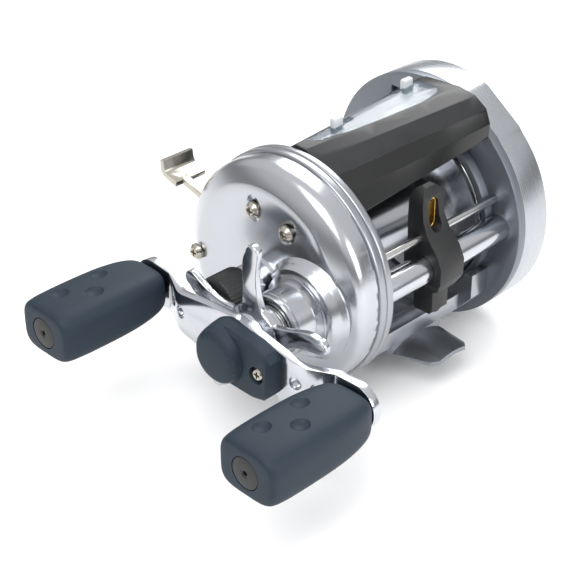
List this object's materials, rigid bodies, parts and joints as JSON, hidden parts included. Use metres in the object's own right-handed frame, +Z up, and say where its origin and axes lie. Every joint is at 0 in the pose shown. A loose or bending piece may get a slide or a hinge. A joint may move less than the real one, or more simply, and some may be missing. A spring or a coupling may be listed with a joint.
{
  "type": "baitcasting reel with line counter",
  "caption": "Round baitcasting reel with a line counter across the top, double-knob crank, star drag, level-wind line guide and a saddle foot.",
  "frame": {"origin": "underside of the reel foot, below the middle of the spool", "axes": "+Z up through the spool axis, +X along the spool axis away from the handle, -Y towards the rod tip"},
  "size_m": [0.1186, 0.0905, 0.0636],
  "materials": {
    "satin_silver": "satin silver anodised",
    "polished_silver": "polished",
    "satin_grey": "satin grey",
    "steel": "brushed",
    "bright": "polished",
    "gear_brass": "machined",
    "nickel": "nickel plated",
    "charcoal": "satin charcoal",
    "black": "matte black",
    "slate": "soft-touch slate",
    "smoke": "clear, tinted",
    "frosted": "frosted",
    "white": "white",
    "fibre": "woven fibre"
  },
  "bodies": {
    "frame": {"frame_ring": "satin_silver", "frame_far_plate": "satin_grey", "frame_bar_front": "satin_silver", "frame_bar_rear": "satin_silver", "thumb_bar": "satin_silver", "reel_foot": "satin_silver", "foot_rivets": "steel", "handle_side_cover": "polished_silver", "gear_plate": "satin_grey", "face_screws": "nickel", "drive_bushing": "bright", "roller_clutch": "steel", "spool_bearings": "steel", "level_wind_tube": "bright", "guide_rod": "steel", "worm_bushes": "gear_brass", "far_cover": "polished_silver", "far_side_screws": "nickel", "gear_studs": "steel", "counter_base": "charcoal", "counter_cover": "charcoal", "counter_lens": "smoke", "lens_clips": "frosted"},
    "crank": {"drive_shaft": "steel", "main_gear": "gear_brass", "drag_washers": "fibre", "clutch_sleeve": "steel", "handle_blade": "bright", "handle_nut": "nickel", "nut_cover": "slate", "nut_cover_screw": "nickel", "knob_spindles": "steel"},
    "star_wheel": {"star_drag": "bright"},
    "front_knob": {"knob_front": "slate", "knob_cap_front": "slate"},
    "rear_knob": {"knob_rear": "slate", "knob_cap_rear": "slate"},
    "spool_set": {"spool": "bright", "spool_shaft": "steel", "spool_gear": "white", "brake_blocks": "white"},
    "pinion_gear": {"pinion": "gear_brass"},
    "clutch_yoke": {"yoke": "black"},
    "thumb_release": {"thumb_tab": "nickel"},
    "tension_cap": {"cast_control_cap": "black"},
    "worm_set": {"worm_shaft": "steel", "worm_gear": "white"},
    "idler": {"idler_gear": "white"},
    "counter_idler": {"counter_idler_gear": "white"},
    "counter_drive": {"counter_shaft": "white", "counter_wheel_units": "white"},
    "tens_wheel": {"counter_wheel_tens": "white"},
    "hundreds_wheel": {"counter_wheel_hundreds": "white"},
    "line_carriage": {"line_guide": "black", "line_eye_insert": "gear_brass", "pawl": "steel", "pawl_cap": "black"},
    "clicker": {"clicker_button": "black"},
    "reset": {"reset_button": "black"}
  },
  "joints": [
    {"name": "handle_crank", "type": "hinge", "parent": "frame", "child": "crank", "pos_m": [-0.035, -0.01375, 0.0221], "axis": [1, 0, 0], "continuous": true},
    {"name": "star_drag_turn", "type": "hinge", "parent": "crank", "child": "star_wheel", "pos_m": [-0.048, -0.01375, 0.0221], "axis": [1, 0, 0], "range_deg": [-270, 270]},
    {"name": "front_knob_spin", "type": "hinge", "parent": "crank", "child": "front_knob", "pos_m": [-0.065, -0.04472, 0.02086], "axis": [1, 0, 0], "continuous": true},
    {"name": "rear_knob_spin", "type": "hinge", "parent": "crank", "child": "rear_knob", "pos_m": [-0.065, 0.01723, 0.02334], "axis": [1, 0, 0], "continuous": true},
    {"name": "spool_spin", "type": "hinge", "parent": "frame", "child": "spool_set", "pos_m": [0, 0, 0.0233], "axis": [1, 0, 0], "continuous": true},
    {"name": "pinion_slide", "type": "slide", "parent": "spool_set", "child": "pinion_gear", "axis": [-1, 0, 0], "range_m": [0, 0.0012]},
    {"name": "yoke_slide", "type": "slide", "parent": "frame", "child": "clutch_yoke", "axis": [-1, 0, 0], "range_m": [0, 0.0012]},
    {"name": "thumb_release_press", "type": "hinge", "parent": "frame", "child": "thumb_release", "pos_m": [-0.027, 0, 0.0233], "axis": [-1, 0, 0], "range_deg": [0, 6]},
    {"name": "tension_cap_turn", "type": "hinge", "parent": "frame", "child": "tension_cap", "pos_m": [-0.043, 0, 0.0233], "axis": [1, 0, 0], "range_deg": [-270, 270]},
    {"name": "worm_spin", "type": "hinge", "parent": "frame", "child": "worm_set", "pos_m": [0, -0.0236, 0.0248], "axis": [1, 0, 0], "continuous": true},
    {"name": "idler_spin", "type": "hinge", "parent": "frame", "child": "idler", "pos_m": [0.026, -0.01436, 0.02529], "axis": [1, 0, 0], "continuous": true},
    {"name": "counter_idler_spin", "type": "hinge", "parent": "frame", "child": "counter_idler", "pos_m": [0.028, -0.00344, 0.03687], "axis": [1, 0, 0], "continuous": true},
    {"name": "counter_spin", "type": "hinge", "parent": "frame", "child": "counter_drive", "pos_m": [0.01, -0.0042, 0.05035], "axis": [1, 0, 0], "continuous": true},
    {"name": "tens_wheel_spin", "type": "hinge", "parent": "frame", "child": "tens_wheel", "pos_m": [0.009, -0.0042, 0.05035], "axis": [1, 0, 0], "continuous": true},
    {"name": "hundreds_wheel_spin", "type": "hinge", "parent": "frame", "child": "hundreds_wheel", "pos_m": [0.005, -0.0042, 0.05035], "axis": [1, 0, 0], "continuous": true},
    {"name": "line_guide_slide", "type": "slide", "parent": "frame", "child": "line_carriage", "axis": [1, 0, 0], "range_m": [-0.011, 0.016]},
    {"name": "clicker_slide", "type": "slide", "parent": "frame", "child": "clicker", "axis": [0, 0, 1], "range_m": [0, 0.0036]},
    {"name": "reset_press", "type": "slide", "parent": "frame", "child": "reset", "axis": [0, -1, 0], "range_m": [0, 0.0012], "stiffness_N_per_m": 150, "springref_m": -0.001}
  ],
  "couplings": [
    {"joint": "spool_spin", "follows": "handle_crank", "ratio": -5.2727},
    {"joint": "idler_spin", "follows": "handle_crank", "ratio": 1.6777},
    {"joint": "worm_spin", "follows": "handle_crank", "ratio": -2.4606},
    {"joint": "counter_idler_spin", "follows": "handle_crank", "ratio": 1.7576},
    {"joint": "counter_spin", "follows": "handle_crank", "ratio": -6.1515},
    {"joint": "tens_wheel_spin", "follows": "handle_crank", "ratio": -0.61515},
    {"joint": "hundreds_wheel_spin", "follows": "handle_crank", "ratio": -0.061515},
    {"joint": "pinion_slide", "follows": "thumb_release_press", "m_per_rad": 0.011457},
    {"joint": "yoke_slide", "follows": "thumb_release_press", "m_per_rad": 0.011457}
  ]
}
